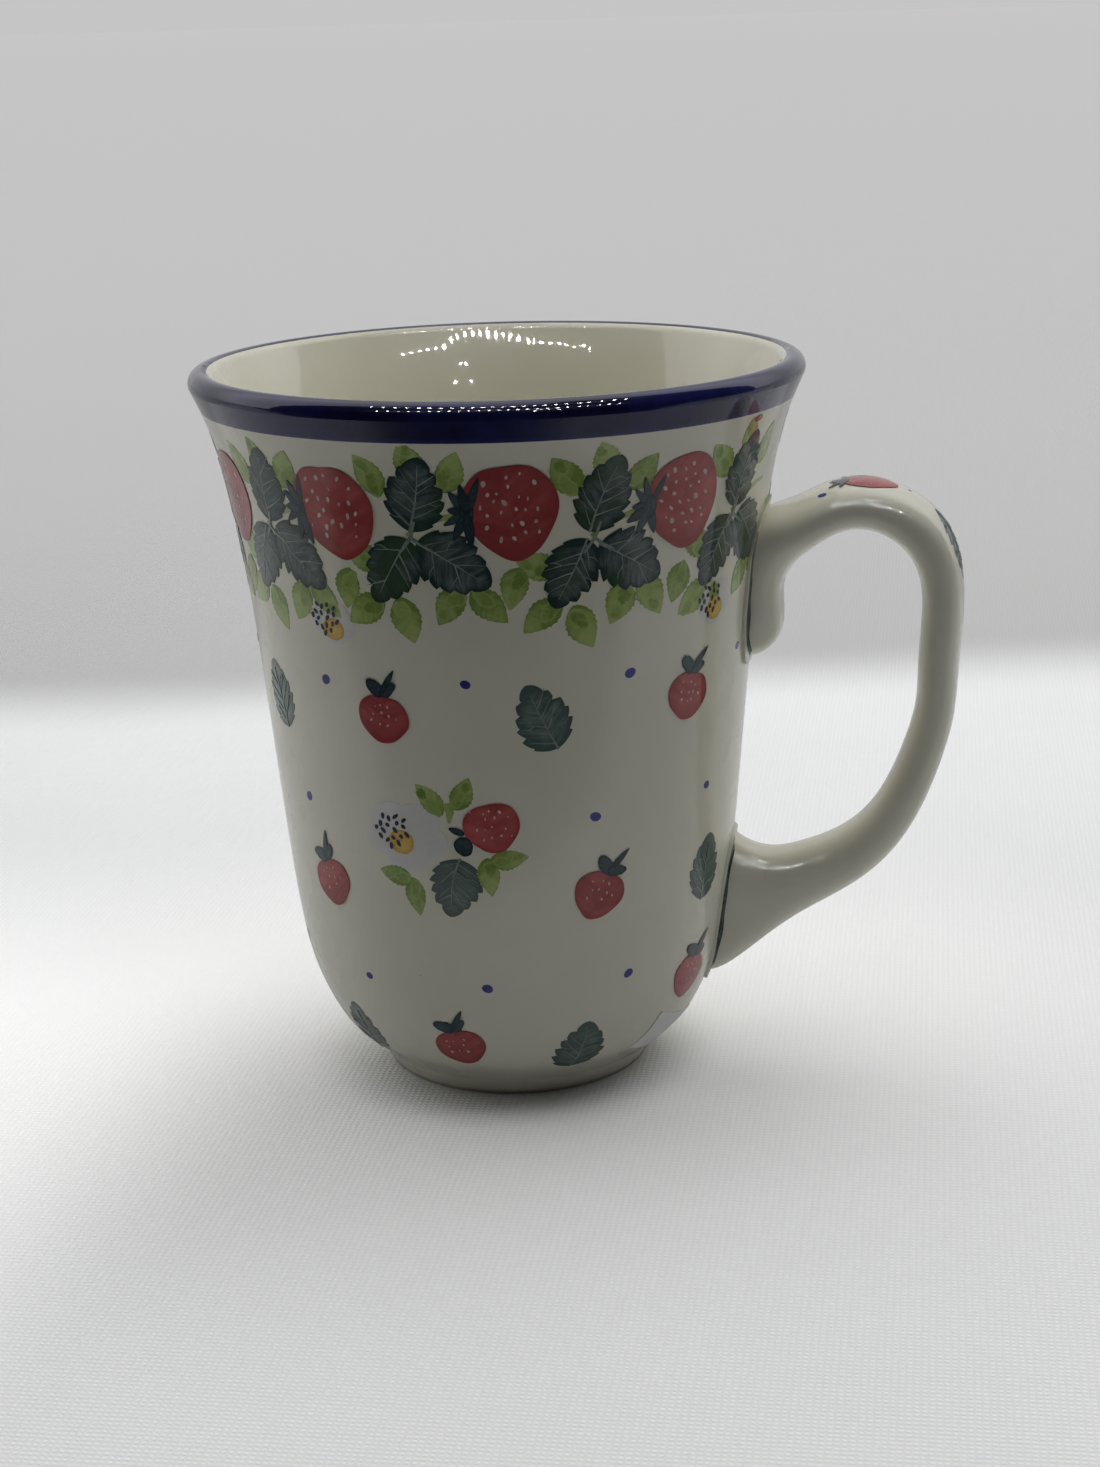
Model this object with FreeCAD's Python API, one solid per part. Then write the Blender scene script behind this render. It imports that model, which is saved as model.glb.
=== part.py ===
import FreeCAD, Part
import math
import os

# Stoneware mug with a flared, rolled rim and a pulled side handle.
# Millimetres. +Z is up, the origin is the centre of the foot ring on the
# surface it stands on, and the handle points along +X.

Vector = FreeCAD.Vector

# ---- driving dimensions of the cup ----
HEIGHT = 120.0
RIM_RADIUS = 50.0
LIP_RADIUS = 2.1
FOOT_RADIUS = 22.4
FOOT_BAND_HEIGHT = 3.3
FOOT_BAND_RADIUS = 24.4
FOOT_RING_WIDTH = 3.8
FOOT_RECESS_DEPTH = 2.2
WALL = 4.2

# Outside of the cup above the foot band, as (radius, height).
BELLY = [(26.2, 5.1), (29.4, 8.0), (32.5, 13.0), (35.0, 19.5), (36.5, 27.0)]
SIDE = [(38.2, 42.0), (40.2, 64.0), (42.0, 82.5)]
FLARE = [(43.5, 94.0), (45.2, 103.3), (46.7, 109.4)]
BAND_FOOT = (48.4, 113.9)
LIP_SIDE_ANGLE = -15.0          # where the outside runs into the rolled lip
LIP_INSIDE_ANGLE = 158.0        # where the lip runs into the inside

# Inside of the cup below the even wall, as (radius, height), ending at the flat floor.
WELL = [(28.4, 14.8), (25.2, 11.2), (21.0, 9.0), (16.0, 8.5)]
WELL_TOP_LEVEL = 21.0           # the wall has an even thickness above this height

# ---- cobalt band painted round the lip ----
BAND_THICKNESS = 0.3
BAND_INNER_RADIUS = 46.9

# ---- handle ----
SLIP_SPREAD = 1.4               # how far the joint slip runs out past the handle
SLIP_THICKNESS = 0.5
SECTION_POINTS = 20
SECTION_POWER = 2.3             # 2 is an ellipse, more is squarer

# Stations of the handle from the ear pressed on the upper wall, over the
# top and down to the lower root: (distance from the cup axis, height,
# direction the outer face looks in degrees, half thickness, half width).
EAR = [
    (40.6, 70.9, 180, 1.3, 1.8),
    (40.7, 71.7, 180, 3.0, 4.2),
    (40.9, 73.2, 180, 4.4, 6.1),
    (41.2, 75.8, 180, 5.2, 7.4),
    (41.6, 80.0, 180, 4.9, 8.3),
]
STRAP = [
    (42.4, 86.4, 157, 5.1, 9.0),
    (46.0, 91.0, 135, 4.9, 9.4),
    (51.8, 94.0, 112, 4.0, 9.2),
    (58.2, 96.1, 90, 4.0, 8.7),
    (64.0, 94.9, 67, 4.0, 8.2),
    (69.0, 91.2, 42, 4.0, 7.8),
    (71.7, 85.6, 20, 3.6, 7.4),
    (72.3, 78.5, 3, 3.4, 7.1),
    (71.6, 66.5, -8, 3.3, 6.7),
    (69.0, 53.6, -19, 3.4, 6.4),
    (63.4, 42.2, -40, 3.8, 6.1),
    (55.9, 35.5, -58, 4.6, 5.9),
]
ROOT = [
    (48.0, 31.7, -69, 5.7, 5.8),
    (41.2, 29.7, -79, 8.9, 5.9),
    (36.6, 29.0, -87, 12.6, 6.2),
    (33.0, 29.0, -90, 14.2, 6.6),
]

# ---- paper price label on the belly under the handle ----
LABEL_LENGTH = 15.0
LABEL_HEIGHT = 8.5
LABEL_THICKNESS = 0.15
LABEL_REACH = 6.0               # half depth of the block that trims the paper
LABEL_AZIMUTH = -24.5
LABEL_LEVEL = 8.2
LABEL_TILT = -19.5              # degrees, its end nearest the handle is lower


def point(pair):
    return Vector(pair[0], 0.0, pair[1])


def spline_through(points):
    curve = Part.BSplineCurve()
    curve.interpolate(Points=points)
    return curve


def on_lip(radius, angle):
    """Point about the centre of the rolled lip; 0 looks outward and 90 looks up."""
    turn = math.radians(angle)
    reach = RIM_RADIUS - LIP_RADIUS + radius * math.cos(turn)
    level = HEIGHT - LIP_RADIUS + radius * math.sin(turn)
    return Vector(reach, 0.0, level)


def lip_arc(radius, start_angle, end_angle):
    middle = (start_angle + end_angle) / 2.0
    return Part.Arc(
        on_lip(radius, start_angle), on_lip(radius, middle), on_lip(radius, end_angle)
    ).toShape()


def outer_curve():
    """Outside of the cup from the top of the foot band to the side of the lip."""
    stations = [(FOOT_BAND_RADIUS, FOOT_BAND_HEIGHT)] + BELLY + SIDE + FLARE + [BAND_FOOT]
    points = [point(pair) for pair in stations]
    return spline_through(points + [on_lip(LIP_RADIUS, LIP_SIDE_ANGLE)])


def place_at_height(curve, level):
    """Curve parameter at which the outside of the cup reaches the given height."""
    low = curve.FirstParameter
    high = curve.LastParameter
    for _ in range(40):
        middle = (low + high) / 2.0
        if curve.value(middle).z < level:
            low = middle
        else:
            high = middle
    return low


def offset_points(curve, first, last, distance, count):
    """Points the given distance inside a stretch of the outer curve."""
    points = []
    for step in range(count + 1):
        place = first + (last - first) * step / count
        tangent = curve.tangent(place)[0]
        inward = Vector(-tangent.z, 0.0, tangent.x)
        points.append(curve.value(place) + inward * distance)
    return points


def inner_curve():
    """Inside of the cup from the lip down to the flat of the floor."""
    outside = outer_curve()
    top = outside.parameter(point(BAND_FOOT))
    bottom = place_at_height(outside, WELL_TOP_LEVEL)
    wall = offset_points(outside, top, bottom, WALL, 8)
    well = [point(pair) for pair in WELL]
    return spline_through([on_lip(LIP_RADIUS, LIP_INSIDE_ANGLE)] + wall + well)


def line(start, end):
    return Part.makeLine(start, end)


def band_inner_angle():
    """Angle round the lip at which the cobalt band ends inside the crown."""
    reach = BAND_INNER_RADIUS - (RIM_RADIUS - LIP_RADIUS)
    return math.degrees(math.acos(reach / LIP_RADIUS))


def first_point(edge):
    return edge.valueAt(edge.FirstParameter)


def last_point(edge):
    return edge.valueAt(edge.LastParameter)


def revolve(edges):
    """Turn a closed outline about the cup axis; the seam is put opposite the handle."""
    wire = Part.Wire(Part.__sortEdges__(edges))
    solid = Part.Face(wire).revolve(Vector(0, 0, 0), Vector(0, 0, 1), 360)
    solid.rotate(Vector(0, 0, 0), Vector(0, 0, 1), 180)
    return solid


def band_edges():
    """Skin and underside of the cobalt band, each from its foot to the lip arc."""
    outside = outer_curve()
    start = outside.parameter(point(BAND_FOOT))
    end = outside.LastParameter
    skin = outside.toShape(start, end)
    under_points = offset_points(outside, start, end, BAND_THICKNESS, 5)
    under_points[-1] = on_lip(LIP_RADIUS - BAND_THICKNESS, LIP_SIDE_ANGLE)
    return skin, spline_through(under_points).toShape()


def make_cup():
    """Wall, floor and foot ring in one piece, rebated where the cobalt band lies."""
    outside = outer_curve()
    inside = inner_curve().toShape()
    wall = outside.toShape(outside.FirstParameter, outside.parameter(point(BAND_FOOT)))
    rebate = band_edges()[1]
    turn = band_inner_angle()
    crown_low = lip_arc(LIP_RADIUS - BAND_THICKNESS, LIP_SIDE_ANGLE, turn)
    crown_top = lip_arc(LIP_RADIUS, turn, LIP_INSIDE_ANGLE)

    foot_inside = FOOT_RADIUS - FOOT_RING_WIDTH
    ring_out = Vector(FOOT_RADIUS, 0, 0)
    ring_in = Vector(foot_inside, 0, 0)
    recess_edge = Vector(foot_inside - FOOT_RECESS_DEPTH, 0, FOOT_RECESS_DEPTH)
    recess_centre = Vector(0, 0, FOOT_RECESS_DEPTH)
    floor_centre = Vector(0, 0, WELL[-1][1])

    edges = [
        line(floor_centre, recess_centre),
        line(recess_centre, recess_edge),
        line(recess_edge, ring_in),
        line(ring_in, ring_out),
        line(ring_out, first_point(wall)),
        wall,
        line(last_point(wall), first_point(rebate)),
        rebate,
        crown_low,
        line(last_point(crown_low), first_point(crown_top)),
        crown_top,
        inside,
        line(last_point(inside), floor_centre),
    ]
    return revolve(edges)


def make_rim_band():
    """Cobalt layer over the outside and crown of the lip."""
    skin, under = band_edges()
    turn = band_inner_angle()
    crown_top = lip_arc(LIP_RADIUS, LIP_SIDE_ANGLE, turn)
    crown_low = lip_arc(LIP_RADIUS - BAND_THICKNESS, LIP_SIDE_ANGLE, turn)
    edges = [
        skin,
        crown_top,
        line(last_point(crown_top), last_point(crown_low)),
        crown_low,
        under,
        line(first_point(under), first_point(skin)),
    ]
    return revolve(edges)


def make_envelope(growth):
    """Solid as fat as the outside of the cup, grown by the given amount."""
    outside = outer_curve()
    skin = outside.toShape()
    if growth:
        first = outside.FirstParameter
        last = outside.LastParameter
        skin = spline_through(offset_points(outside, first, last, -growth, 24)).toShape()
    start = first_point(skin)
    end = last_point(skin)
    low = Vector(0, 0, start.z)
    high = Vector(0, 0, end.z)
    return revolve([line(low, start), skin, line(end, high), line(high, low)])


def section(station, growth):
    """Closed handle outline at one station, a rounded oval square to the handle."""
    reach, level, direction, half_thick, half_wide = station
    turn = math.radians(direction)
    outward = Vector(math.cos(turn), 0, math.sin(turn))
    sideways = Vector(0, 1, 0)
    points = []
    for step in range(SECTION_POINTS):
        angle = 2.0 * math.pi * step / SECTION_POINTS
        cosine = math.cos(angle)
        sine = math.sin(angle)
        thick = math.copysign(abs(cosine) ** (2.0 / SECTION_POWER), cosine) * (half_thick + growth)
        wide = math.copysign(abs(sine) ** (2.0 / SECTION_POWER), sine) * (half_wide + growth)
        points.append(Vector(reach, 0, level) + outward * thick + sideways * wide)
    curve = Part.BSplineCurve()
    curve.interpolate(Points=points, PeriodicFlag=True)
    return Part.Wire(curve.toShape())


def handle_loft(stations, growth):
    wires = [section(station, growth) for station in stations]
    return Part.makeLoft(wires, True, False)


def largest_solid(shape):
    return max(shape.Solids, key=lambda solid: solid.Volume)


def make_handle():
    loft = handle_loft(EAR + STRAP + ROOT, 0.0)
    return largest_solid(loft.cut(make_envelope(0.0)))


def lowered(station, drop):
    reach, level, direction, half_thick, half_wide = station
    return (reach, level - drop, direction, half_thick, half_wide)


def make_slip(stations, handle):
    """Thin collar of clay slip on the wall round one end of the handle."""
    skin = make_envelope(SLIP_THICKNESS).cut(make_envelope(0.0))
    patch = handle_loft(stations, SLIP_SPREAD).common(skin)
    return largest_solid(patch.cut(handle))


def make_price_label():
    """Small rectangle of paper lying on the belly, its handle end tilted down."""
    skin = make_envelope(LABEL_THICKNESS).cut(make_envelope(0.0))
    outside = outer_curve()
    place = place_at_height(outside, LABEL_LEVEL)
    spot = outside.value(place)
    slope = outside.tangent(place)[0]
    cutter = Part.makeBox(
        2.0 * LABEL_REACH, LABEL_LENGTH, LABEL_HEIGHT,
        Vector(-LABEL_REACH, -LABEL_LENGTH / 2.0, -LABEL_HEIGHT / 2.0),
    )
    origin = Vector(0, 0, 0)
    lean = math.degrees(math.atan2(slope.x, slope.z))
    cutter.rotate(origin, Vector(1, 0, 0), LABEL_TILT)
    cutter.rotate(origin, Vector(0, 1, 0), lean)
    cutter.translate(spot)
    cutter.rotate(origin, Vector(0, 0, 1), LABEL_AZIMUTH)
    return largest_solid(skin.common(cutter))


def main():
    handle = make_handle()
    slipped_ear = [lowered(station, SLIP_SPREAD) for station in EAR[1:-1]]
    pieces = {
        "mug_body": make_cup(),
        "rim_band": make_rim_band(),
        "handle": handle,
        "upper_joint_slip": make_slip(slipped_ear + STRAP[:5], handle),
        "lower_joint_slip": make_slip(STRAP[-1:] + ROOT, handle),
        "price_label": make_price_label(),
    }
    os.makedirs("parts", exist_ok=True)
    for name, piece in pieces.items():
        solid = largest_solid(piece)
        solid.exportStep("parts/%s.step" % name)
        box = solid.BoundBox
        print("%-18s volume %9.2f  x %7.2f %7.2f  y %7.2f %7.2f  z %7.2f %7.2f  valid %s" % (
            name, solid.Volume, box.XMin, box.XMax, box.YMin, box.YMax, box.ZMin, box.ZMax, solid.isValid()))


main()
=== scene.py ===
"""Looks for a stoneware mug: cream glaze, cobalt rim, painted strawberries, a pale cloth and soft light."""
import math
import random

import bpy
import numpy as np
from mathutils import Matrix, Vector
from mathutils.bvhtree import BVHTree


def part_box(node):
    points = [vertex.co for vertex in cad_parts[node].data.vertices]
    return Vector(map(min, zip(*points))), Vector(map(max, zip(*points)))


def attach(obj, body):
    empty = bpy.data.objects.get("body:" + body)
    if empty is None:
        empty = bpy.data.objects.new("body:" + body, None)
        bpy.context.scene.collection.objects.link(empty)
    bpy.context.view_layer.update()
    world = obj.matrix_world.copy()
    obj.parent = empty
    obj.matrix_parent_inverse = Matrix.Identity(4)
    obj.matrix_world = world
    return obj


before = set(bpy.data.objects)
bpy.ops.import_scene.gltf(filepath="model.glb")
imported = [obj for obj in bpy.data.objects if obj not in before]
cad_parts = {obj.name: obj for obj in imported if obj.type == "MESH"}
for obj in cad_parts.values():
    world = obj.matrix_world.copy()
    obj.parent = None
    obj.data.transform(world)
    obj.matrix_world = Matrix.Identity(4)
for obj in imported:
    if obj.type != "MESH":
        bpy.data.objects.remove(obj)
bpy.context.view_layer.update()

MM = 0.001
CUP_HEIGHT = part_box("mug_body")[1].z / MM
GARLAND_LEVEL = 0.823 * CUP_HEIGHT
FILM = 0.07                     # thickness of a touch of paint, in mm
STAMENS = 18
GOLDEN_TURN = 0.382             # share of a turn from one stamen to the next

# How far each kind of paint stands off the glaze, in mm, lowest first.
LIFT = {"petal": 0.03, "light": 0.03, "grey": 0.03, "dot": 0.03, "touch": 0.052, "centre": 0.065,
        "dark": 0.078, "stamen": 0.10, "vein": 0.11, "berry": 0.135, "calyx": 0.16, "seed": 0.16}

hand = random.Random(11)


# ---------------------------------------------------------------- surfaces of the CAD frame

def tree_of(*names):
    """One search tree over the surfaces of these CAD nodes."""
    points = []
    faces = []
    for name in names:
        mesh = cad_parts[name].data
        base = len(points)
        points += [v.co.copy() for v in mesh.vertices]
        faces += [[base + i for i in p.vertices] for p in mesh.polygons]
    return BVHTree.FromPolygons(points, faces)


def wall_profile(tree, step=0.5):
    """Radius and height along the outside wall, from the foot to the lip, in mm."""
    found = []
    for level in np.arange(1.0, CUP_HEIGHT - 2.5, step):
        reach = 0
        for turn in range(0, 12):
            a = math.radians(-120 + turn * 0.5)
            out = Vector((math.cos(a), math.sin(a), 0))
            hit = tree.ray_cast(out * 0.2 + Vector((0, 0, level * MM)), -out)[0]
            reach = max(reach, math.hypot(hit.x, hit.y) / MM)
        found.append((reach, level))
    return np.array(found)


CUP = tree_of("mug_body")
HANDLE = tree_of("handle")
WHOLE = tree_of("mug_body", "handle", "upper_joint_slip", "lower_joint_slip")
PROFILE = wall_profile(CUP)
ALONG = np.concatenate([[0], np.cumsum(np.hypot(*np.diff(PROFILE, axis=0).T))])
SLOPE = np.gradient(PROFILE, ALONG, axis=0)


def wall_spot(around, level):
    """A place on the outside wall: degrees round from the handle, height in mm.

    Returns a function that takes mm to the right, mm up the wall and mm off it."""
    start = np.interp(level, PROFILE[:, 1], ALONG)

    def place(right, up, off):
        s = start + up
        radius = np.interp(s, ALONG, PROFILE[:, 0])
        height = np.interp(s, ALONG, PROFILE[:, 1])
        rise = Vector((np.interp(s, ALONG, SLOPE[:, 0]), np.interp(s, ALONG, SLOPE[:, 1]))).normalized()
        angle = math.radians(around) + right / radius
        out = radius + off * rise.y
        return Vector((out * math.cos(angle), out * math.sin(angle), height - off * rise.x)) * MM
    return place


def cast_spot(centre, facing, upward):
    """A place on the handle, found by looking at it along one direction."""
    facing = Vector(facing).normalized()
    upward = Vector(upward).normalized()
    across = upward.cross(facing)

    def place(right, up, off):
        start = (Vector(centre) + across * right + upward * up + facing * 8) * MM
        hit, normal = WHOLE.ray_cast(start, -facing)[:2]
        if hit is None:
            raise ValueError("a painted touch runs off the handle")
        return hit + normal * off * MM
    return place


def joint_half_widths(low, high, step=0.5):
    """Half the width of the handle just off the wall, from one height to another."""
    found = []
    for level in np.arange(low, high + step, step):
        radius = np.interp(level, PROFILE[:, 1], PROFILE[:, 0])
        start = Vector((math.sqrt(radius ** 2 - 49) + 1.0, -30, level)) * MM
        hit = HANDLE.ray_cast(start, Vector((0, 1, 0)))[0]
        if hit is not None and hit.y < 0:
            found.append((level, -hit.y / MM))
    found = np.array(found)
    padded = np.pad(found[:, 1], 4, mode="edge")
    return found[:, 0], np.convolve(padded, np.ones(9) / 9, "valid")


def seam_spot(sign, level, half_widths):
    """A place in the corner between the wall and one side of the handle, by height."""
    levels, widths = half_widths

    def place(right, up, off):
        height = level + up
        radius = np.interp(height, PROFILE[:, 1], PROFILE[:, 0])
        side = sign * np.interp(height, levels, widths)
        corner = Vector((math.sqrt(radius ** 2 - side ** 2), side, height))
        facing = (Vector((corner.x, corner.y, 0)).normalized() + Vector((0, sign, 0))).normalized()
        across = Vector((0, 0, 1)).cross(facing)
        start = (corner + across * right + facing * 5) * MM
        hit = WHOLE.ray_cast(start, -facing)[0]
        return hit + facing * off * MM
    return place


# ---------------------------------------------------------------- paint films

class Paint:
    """Many touches of one paint, gathered into one piece. Every touch is a closed film."""

    def __init__(self, lift):
        self.lift = lift
        self.points = []
        self.faces = []
        self.brush = []
        self.rim = []
        self.count = 0

    def film(self, place, rows, closed, turn, tint):
        """Turns rows of (x, y, across, along, rim) into a film with a top, an underside and an edge."""
        self.count += 1
        off = self.lift + 0.004 * (self.count % 6)
        c, s = math.cos(math.radians(turn)), math.sin(math.radians(turn))
        width = len(rows[0])
        base = len(self.points)
        for lower in (0, FILM):
            for row in rows:
                for x, y, across, along, rim in row:
                    self.points.append(place(c * x - s * y, s * x + c * y, off - lower))
                    self.brush.append((across, along, tint))
                    self.rim.append(rim)
        under = len(rows) * width
        steps = width if closed else width - 1
        for r in range(len(rows) - 1):
            for k in range(steps):
                a = base + r * width + k
                b = base + r * width + (k + 1) % width
                self.faces.append((a, b, b + width, a + width))
                self.faces.append((a + under, a + under + width, b + under + width, b + under))
        if closed:
            last = base + (len(rows) - 1) * width
            self.faces.append([base + k for k in reversed(range(width))])
            self.faces.append([base + under + k for k in range(width)])
            edge = [last + k for k in range(width)]
        else:
            edge = [base + k for k in range(width)]
            edge += [base + r * width + width - 1 for r in range(1, len(rows))]
            edge += [base + (len(rows) - 1) * width + k for k in reversed(range(width - 1))]
            edge += [base + r * width for r in reversed(range(1, len(rows) - 1))]
        for k, a in enumerate(edge):
            b = edge[(k + 1) % len(edge)]
            self.faces.append((a, a + under, b + under, b))

    def patch(self, place, outline, turn=0.0, tint=0.5, rings=5):
        """A filled shape whose outline can be seen whole from its middle."""
        wide = max(abs(x) for x, y in outline)
        high = max(abs(y) for x, y in outline)
        rows = []
        for r in range(rings + 1):
            t = 0.04 + 0.96 * (r / rings)
            rows.append([(x * t, y * t, x * t / wide, y * t / high, t) for x, y in outline])
        self.film(place, rows, True, turn, tint)

    def stroke(self, place, path, widths, turn=0.0, tint=0.5):
        """A brush stroke along a path, with a width at each point."""
        rows = []
        for i, (x, y) in enumerate(path):
            x0, y0 = path[max(i - 1, 0)]
            x1, y1 = path[min(i + 1, len(path) - 1)]
            length = math.hypot(x1 - x0, y1 - y0)
            nx, ny = (y1 - y0) / length, -(x1 - x0) / length
            along = i / (len(path) - 1)
            w = widths[i] / 2
            rows.append([(x - nx * w * k, y - ny * w * k, k, along, abs(k)) for k in (1, 0.5, 0, -0.5, -1)])
        self.film(place, rows, False, turn, tint)

    def piece(self, name, material):
        """Makes the mesh and hangs it on the mug."""
        mesh = bpy.data.meshes.new(name)
        mesh.from_pydata(self.points, [], self.faces)
        brush = mesh.attributes.new("brush", "FLOAT_VECTOR", "POINT")
        brush.data.foreach_set("vector", np.array(self.brush, np.float32).ravel())
        rim = mesh.attributes.new("rim", "FLOAT", "POINT")
        rim.data.foreach_set("value", np.array(self.rim, np.float32))
        mesh.shade_smooth()
        mesh.set_sharp_from_angle(angle=math.radians(40))
        mesh.materials.append(material)
        obj = bpy.data.objects.new(name, mesh)
        bpy.context.scene.collection.objects.link(obj)
        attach(obj, "root")
        return obj


def wobble(outline, amount):
    """A hand-drawn unevenness round an outline."""
    a, b, c = (hand.uniform(0, math.tau) for _ in range(3))
    done = []
    for k, (x, y) in enumerate(outline):
        t = math.tau * k / len(outline)
        grow = 1 + amount * (math.sin(2 * t + a) + 0.6 * math.sin(3 * t + b) + 0.35 * math.sin(7 * t + c))
        done.append((x * grow, y * grow))
    return done


def berry_outline(width, height, points=56):
    """Broad shoulders at the top and a blunt tip at the bottom."""
    outline = []
    for k in range(points):
        t = math.tau * k / points
        y = 0.5 * height * math.cos(t)
        x = 0.5 * width * math.sin(t) * (0.96 + 0.17 * math.cos(t) - 0.06 * math.cos(2 * t))
        y -= 0.05 * height * math.exp(-(t if t < math.pi else math.tau - t) ** 2 * 6)
        outline.append((x, y))
    return wobble(outline, 0.024)


def leaf_half_width(width, s, point=0.62):
    """Half the width of a leaf at a share of its length from the base."""
    return 0.5 * width * math.sin(math.pi * min(max(s, 0.0), 1.0) ** 0.80) ** point


def leaf_outline(width, length, teeth=6, depth=0.125, point=0.62, points=8):
    """A leaf from base to tip along +y, with rounded teeth on both edges if depth isn't nought."""
    sides = []
    steps = teeth * points
    for sign in (1, -1):
        side = []
        bites = [hand.uniform(0.45, 1.25) for _ in range(teeth + 1)]
        for k in range(steps + 1):
            s = k / steps
            tooth = (k % points) / points
            bite = depth * width * bites[k // points] * (1 - tooth ** 0.55) * math.sin(math.pi * s) ** 0.3
            half = leaf_half_width(width, s, point) - bite * (0 < s < 1)
            side.append((sign * half, (s - 0.5) * length))
        sides.append(side)
    return wobble(sides[0] + list(reversed(sides[1][1:-1])), 0.02)


def leaflet_outline(width, length, points=22):
    """A small pointed leaf, fuller on one side, its edge a little broken."""
    full = hand.uniform(0.78, 1.0)
    outline = []
    for sign in (1, -1):
        grain = hand.uniform(0, math.tau)
        order = range(points + 1) if sign > 0 else range(points - 1, 0, -1)
        for k in order:
            s = k / points
            half = leaf_half_width(width, s, 0.86) * (1.0 if sign > 0 else full)
            half *= 1 + 0.07 * math.sin(2.3 * k + grain) * math.sin(math.pi * s)
            outline.append((sign * half, (s - 0.5) * length))
    return wobble(outline, 0.02)


def oval_outline(width, height, points=20):
    turns = [math.tau * k / points for k in range(points)]
    return [(0.5 * width * math.sin(t), 0.5 * height * math.cos(t)) for t in turns]


def petal_outline(width, height, lobes=5, points=70):
    """An open flower, rounded petals with a notch between each two."""
    outline = []
    for k in range(points):
        t = math.tau * k / points
        reach = 0.80 + 0.20 * abs(math.sin(lobes * t / 2)) ** 0.6
        outline.append((0.5 * width * reach * math.sin(t), 0.5 * height * reach * math.cos(t)))
    return wobble(outline, 0.02)


# ---------------------------------------------------------------- painted motifs

berries = Paint(LIFT["berry"])
seeds = Paint(LIFT["seed"])
dark_leaves = Paint(LIFT["dark"])
grey_leaves = Paint(LIFT["grey"])
veins = Paint(LIFT["vein"])
light_leaves = Paint(LIFT["light"])
leaf_touches = Paint(LIFT["touch"])
calyxes = Paint(LIFT["calyx"])
petals = Paint(LIFT["petal"])
centres = Paint(LIFT["centre"])
stamens = Paint(LIFT["stamen"])
dots = Paint(LIFT["dot"])
seams = Paint(LIFT["dot"])


def shifted(place, right, up):
    return lambda x, y, off: place(x + right, y + up, off)


def turned(x, y, turn):
    c, s = math.cos(math.radians(turn)), math.sin(math.radians(turn))
    return c * x - s * y, s * x + c * y


def paint_berry(place, width, height, turn, seed_gap, seed_size, spread=0.80):
    """A berry and its pale seeds, loose dabs that keep clear of the edge."""
    tint = hand.random()
    berries.patch(place, berry_outline(width, height), turn, tint, rings=6)
    lean = hand.uniform(-30, 30)
    rows = int(height * spread / seed_gap)
    for r in range(rows):
        y = 0.5 * height * spread - (r + 0.5) * seed_gap
        across = math.sqrt(max(0.0, 1 - (2 * y / height) ** 2))
        reach = 0.46 * width * spread * across * (0.98 + 0.35 * y / height)
        count = max(1, round(2 * reach / seed_gap))
        for k in range(count):
            x = (k + 0.5 - count / 2) * seed_gap + (0.25 if r % 2 else -0.25) * seed_gap
            if abs(x) > reach or hand.random() < 0.08:
                continue
            drift = 0.26 * seed_gap
            spot = turned(x + hand.uniform(-drift, drift), y + hand.uniform(-drift, drift), turn)
            size = seed_size * hand.uniform(0.55, 1.3)
            dab = wobble(oval_outline(size * hand.uniform(0.45, 0.85), size, 12), 0.06)
            tilt = turn + lean + hand.uniform(-30, 30)
            seeds.patch(shifted(place, *spot), dab, tilt, hand.random(), rings=1)


def paint_veins(place, width, length, turn, pairs=4):
    """The pale lines left between strokes: a bent midrib, uneven side veins and short forks."""
    steps = 10
    sway = hand.uniform(-0.07, 0.07) * width
    rib = []
    widths = []
    for k in range(steps + 1):
        t = k / steps
        rib.append((sway * math.sin(math.pi * k / steps), (-0.5 + 0.86 * k / steps) * length))
        widths.append(0.40 * (1 - 0.8 * t) * hand.uniform(0.75, 1.2))
    veins.stroke(place, rib, widths, turn)
    for n in range(pairs):
        for side in (-1, 1):
            if hand.random() < 0.14:
                continue
            start = 0.14 + 0.60 * n / pairs + 0.05 * side + hand.uniform(-0.03, 0.03)
            reach = leaf_half_width(width, start + 0.16) * hand.uniform(0.55, 0.88)
            rise = hand.uniform(0.13, 0.24)
            bend = hand.uniform(-0.03, 0.09)
            path = []
            for k in range(7):
                t = k / 6
                along = start - 0.5 + rise * t + bend * t * t
                path.append((side * reach * t + sway * (1 - t), along * length))
            thick = hand.uniform(0.18, 0.32)
            veins.stroke(place, path, [thick * (1 - 0.7 * k / 6) for k in range(7)], turn, hand.random())
            if hand.random() < 0.45:
                x, y = path[3]
                fork = [(x, y), (x + side * 0.13 * width, y - 0.005 * length),
                        (x + side * 0.21 * width, y + 0.03 * length)]
                veins.stroke(place, fork, [0.16, 0.14, 0.06], turn, hand.random())


def paint_leaf(paint, place, width, length, turn, teeth=6):
    paint.patch(place, leaf_outline(width, length, teeth), turn, hand.random(), rings=5)
    paint_veins(place, width, length, turn)


def paint_leaflet(place, width, length, turn):
    """A light green leaflet, pooled darker at its base and sometimes at its tip."""
    light_leaves.patch(place, leaflet_outline(width, length), turn, hand.random(), rings=4)
    for end, wide, long in ((-0.20, 0.50, 0.50), (0.22, 0.36, 0.36)):
        if end > 0 and hand.random() < 0.5:
            continue
        x, y = turned(hand.uniform(-0.10, 0.10) * width, end * length, turn)
        pool = wobble(oval_outline(wide * width, long * length, 24), 0.15)
        leaf_touches.patch(shifted(place, x, y), pool, turn + hand.uniform(-14, 14), hand.random(), rings=3)


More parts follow.
